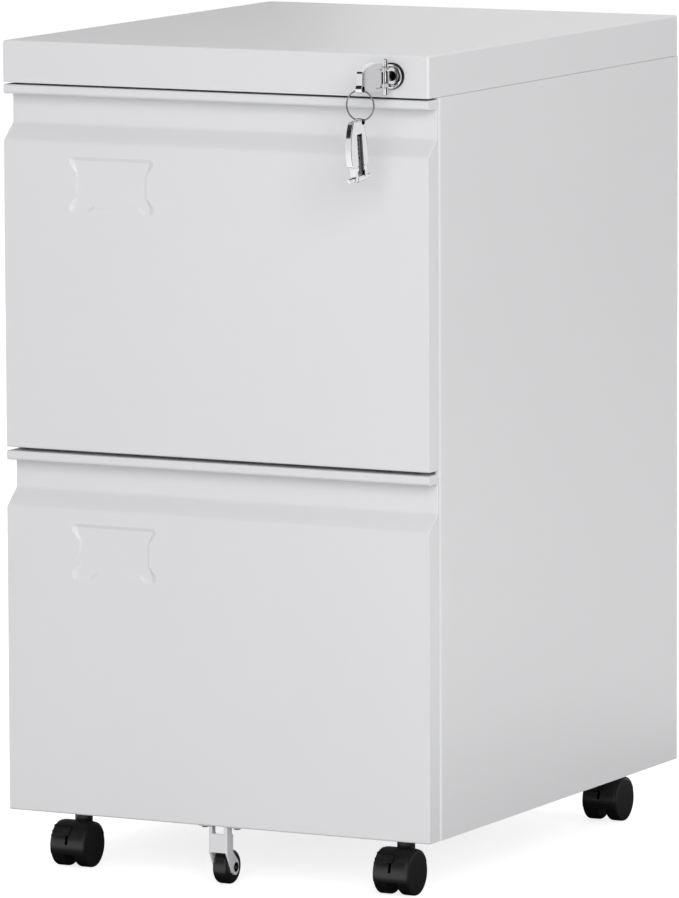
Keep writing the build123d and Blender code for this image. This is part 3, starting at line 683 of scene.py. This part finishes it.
# Boards that only bright metal and gloss mirror: the middle, the size and the glow of each
BOARDS = {
    "card_key": ((2.3, -2.73, 0.85), (1.9, 0.1, 1.2), 2.4),
    "flag_right": ((1.6, -0.9, 0.9), (0.1, 2.2, 1.8), 0.0),
    "flag_far_right": ((1.6, 2.5, 0.45), (0.1, 1.6, 0.9), 0.0),
    "flag_above": ((0.0, -0.6, 2.4), (2.4, 2.0, 0.1), 0.0),
    "flag_behind": ((-2.3, 2.2, 0.95), (2.3, 0.1, 0.7), 0.0),
    "flag_front": ((-1.15, -2.55, 2.5), (2.6, 0.1, 2.9), 0.0),
    # Dark sheets on the floor under and in front of the cabinet: painted floor shadow, seen only in
    # reflections
    "flag_under": ((0.1, 0.2, 0.0008), (0.75, 0.81, 0.0004), 0.0),
    "flag_caster": ((-0.17, -0.215, 0.0008), (0.2, 0.045, 0.0004), 0.0),
}
BOARD_BLACK = (0.01, 0.01, 0.01, 1.0)
RAYS_PAST_BOARDS = ("camera", "diffuse", "shadow", "transmission", "volume_scatter")


def seen_directly(tree):
    """1 for rays that show the backdrop itself or its mirror image, and 0 for light."""
    path = tree.nodes.new("ShaderNodeLightPath")
    total = path.outputs["Is Camera Ray"]
    for label in ("Is Glossy Ray", "Is Transmission Ray"):
        total = worked_out(tree, "ShaderNodeMath", "MAXIMUM", total, path.outputs[label]).outputs["Value"]
    return total


def make_world(studio):
    """White to look at, with a lower even light."""
    world = bpy.data.worlds.new("studio")
    world.use_nodes = True
    bpy.context.scene.world = world
    tree = world.node_tree
    strength = linked(
        tree, "ShaderNodeMapRange", Value=seen_directly(tree), To_Min=studio.ambient, To_Max=1.0
    )
    tree.links.new(strength.outputs["Result"], tree.nodes["Background"].inputs["Strength"])
    tree.nodes["Background"].inputs["Color"].default_value = WHITE


def mesh_object(name, bm, material):
    """An object of one material from a finished bmesh, which is freed."""
    mesh = bpy.data.meshes.new(name)
    bm.to_mesh(mesh)
    bm.free()
    mesh.materials.append(material)
    return bpy.data.objects.new(name, mesh)


def put_on_stage(piece):
    """Links a piece of the studio into the scene."""
    bpy.context.scene.collection.objects.link(piece)


def make_floor(studio):
    """Pale floor that keeps the shadow and looks white."""
    material, shader = new_material("pale_floor")
    shader.inputs["Base Color"].default_value = (*studio.floor_colour, 1.0)
    shader.inputs["Roughness"].default_value = FLOOR_ROUGHNESS
    shader.inputs["Specular IOR Level"].default_value = 0.0
    shader.inputs["Emission Color"].default_value = WHITE
    tree = material.node_tree
    lift = worked_out(tree, "ShaderNodeMath", "MULTIPLY", seen_directly(tree), studio.floor_lift)
    tree.links.new(lift.outputs["Value"], shader.inputs["Emission Strength"])
    bm = bmesh.new()
    bmesh.ops.create_grid(bm, x_segments=1, y_segments=1, size=FLOOR_REACH)
    floor = mesh_object("floor", bm, material)
    floor.location.z = -FLOOR_DROP
    put_on_stage(floor)


def aimed(location, target):
    """A matrix that puts something at a place, looking at a target."""
    place, aim = Vector(location), Vector(target)
    turn = (aim - place).to_track_quat("-Z", "Y")
    return Matrix.Translation(place) @ turn.to_matrix().to_4x4()


def soft_lamp(name, place, size, power):
    """A soft rectangular lamp that looks at the cabinet and that gloss doesn't mirror."""
    lamp = bpy.data.lights.new(name, "AREA")
    lamp.shape = "RECTANGLE"
    lamp.size, lamp.size_y = size
    lamp.energy = power
    holder = bpy.data.objects.new(name, lamp)
    holder.matrix_world = aimed(place, LAMP_TARGET)
    holder.visible_glossy = False
    bpy.context.scene.collection.objects.link(holder)


def make_lamps(studio):
    """A broad lamp above the camera, a low one beside it, and weak ones on the other sides."""
    for name, (place, size) in LAMPS.items():
        soft_lamp(f"{name}_lamp", place, size, getattr(studio, f"{name}_power"))


def make_boards():
    """A bright card to the right of the camera, dark flags round the set, and dark sheets that paint the
    floor's shadow into reflections.
    """
    for name, (place, size, glow) in BOARDS.items():
        material, shader = new_material(name)
        shader.inputs["Base Color"].default_value = BOARD_BLACK
        shader.inputs["Roughness"].default_value = 1.0
        shader.inputs["Emission Color"].default_value = WHITE
        shader.inputs["Emission Strength"].default_value = glow
        bm = bmesh.new()
        place_and_size = Matrix.LocRotScale(Vector(place), None, Vector(size))
        bmesh.ops.create_cube(bm, size=1.0, matrix=place_and_size)
        board = mesh_object(name, bm, material)
        for ray in RAYS_PAST_BOARDS:
            setattr(board, f"visible_{ray}", False)
        put_on_stage(board)


def make_camera(studio):
    """Camera at the fitted place, on a long lens."""
    yaw, pitch, roll = studio.camera_turn
    level = Vector((-math.sin(yaw), math.cos(yaw), 0.0))
    forward = math.cos(pitch) * level - math.sin(pitch) * Vector((0.0, 0.0, 1.0))
    right = Vector((math.cos(yaw), math.sin(yaw), 0.0))
    up = right.cross(forward)
    level_right = math.cos(roll) * right + math.sin(roll) * up
    level_up = math.cos(roll) * up - math.sin(roll) * right
    turn = Matrix((level_right, level_up, -forward)).transposed()
    place = Vector(studio.camera_from_front) + Vector((0.0, FRONT_PLANE, 0.0))
    data = bpy.data.cameras.new("camera")
    data.lens = studio.lens
    data.clip_end = CAMERA_REACH
    camera = bpy.data.objects.new("camera", data)
    camera.matrix_world = Matrix.Translation(place) @ turn.to_4x4()
    bpy.context.scene.collection.objects.link(camera)
    bpy.context.scene.camera = camera


STEPS = (
    PEDESTAL_OT_paint_sheets,
    PEDESTAL_OT_finish_fittings,
    PEDESTAL_OT_finish_slides,
    PEDESTAL_OT_finish_casters,
    PEDESTAL_OT_set_stage,
)


class PEDESTAL_PT_steps(bpy.types.Panel):
    """Lists the steps and their settings."""

    bl_idname = "PEDESTAL_PT_steps"
    bl_label = "Filing pedestal"
    bl_space_type = "VIEW_3D"
    bl_region_type = "UI"
    bl_category = "Pedestal"

    def draw(self, context):
        for step in STEPS:
            self.layout.operator(step.bl_idname)
        for settings in (context.scene.pedestal_finish, context.scene.pedestal_studio):
            box = self.layout.box()
            for name in settings.__annotations__:
                box.prop(settings, name)


SETTINGS = {
    "pedestal_finish": PedestalFinish,
    "pedestal_studio": PedestalStudio,
}


def register():
    """Registers the settings, steps and panel."""
    for name, settings in SETTINGS.items():
        bpy.utils.register_class(settings)
        setattr(bpy.types.Scene, name, bpy.props.PointerProperty(type=settings))
    for step in (*STEPS, PEDESTAL_PT_steps):
        bpy.utils.register_class(step)


def unregister():
    """Takes the panel, steps and settings away again."""
    for step in (PEDESTAL_PT_steps, *reversed(STEPS)):
        bpy.utils.unregister_class(step)
    for name, settings in SETTINGS.items():
        delattr(bpy.types.Scene, name)
        bpy.utils.unregister_class(settings)


def main():
    """Runs every step."""
    register()
    bpy.ops.pedestal.paint_sheets()
    bpy.ops.pedestal.finish_fittings()
    bpy.ops.pedestal.finish_slides()
    bpy.ops.pedestal.finish_casters()
    bpy.ops.pedestal.set_stage()


if __name__ == "__main__":
    main()
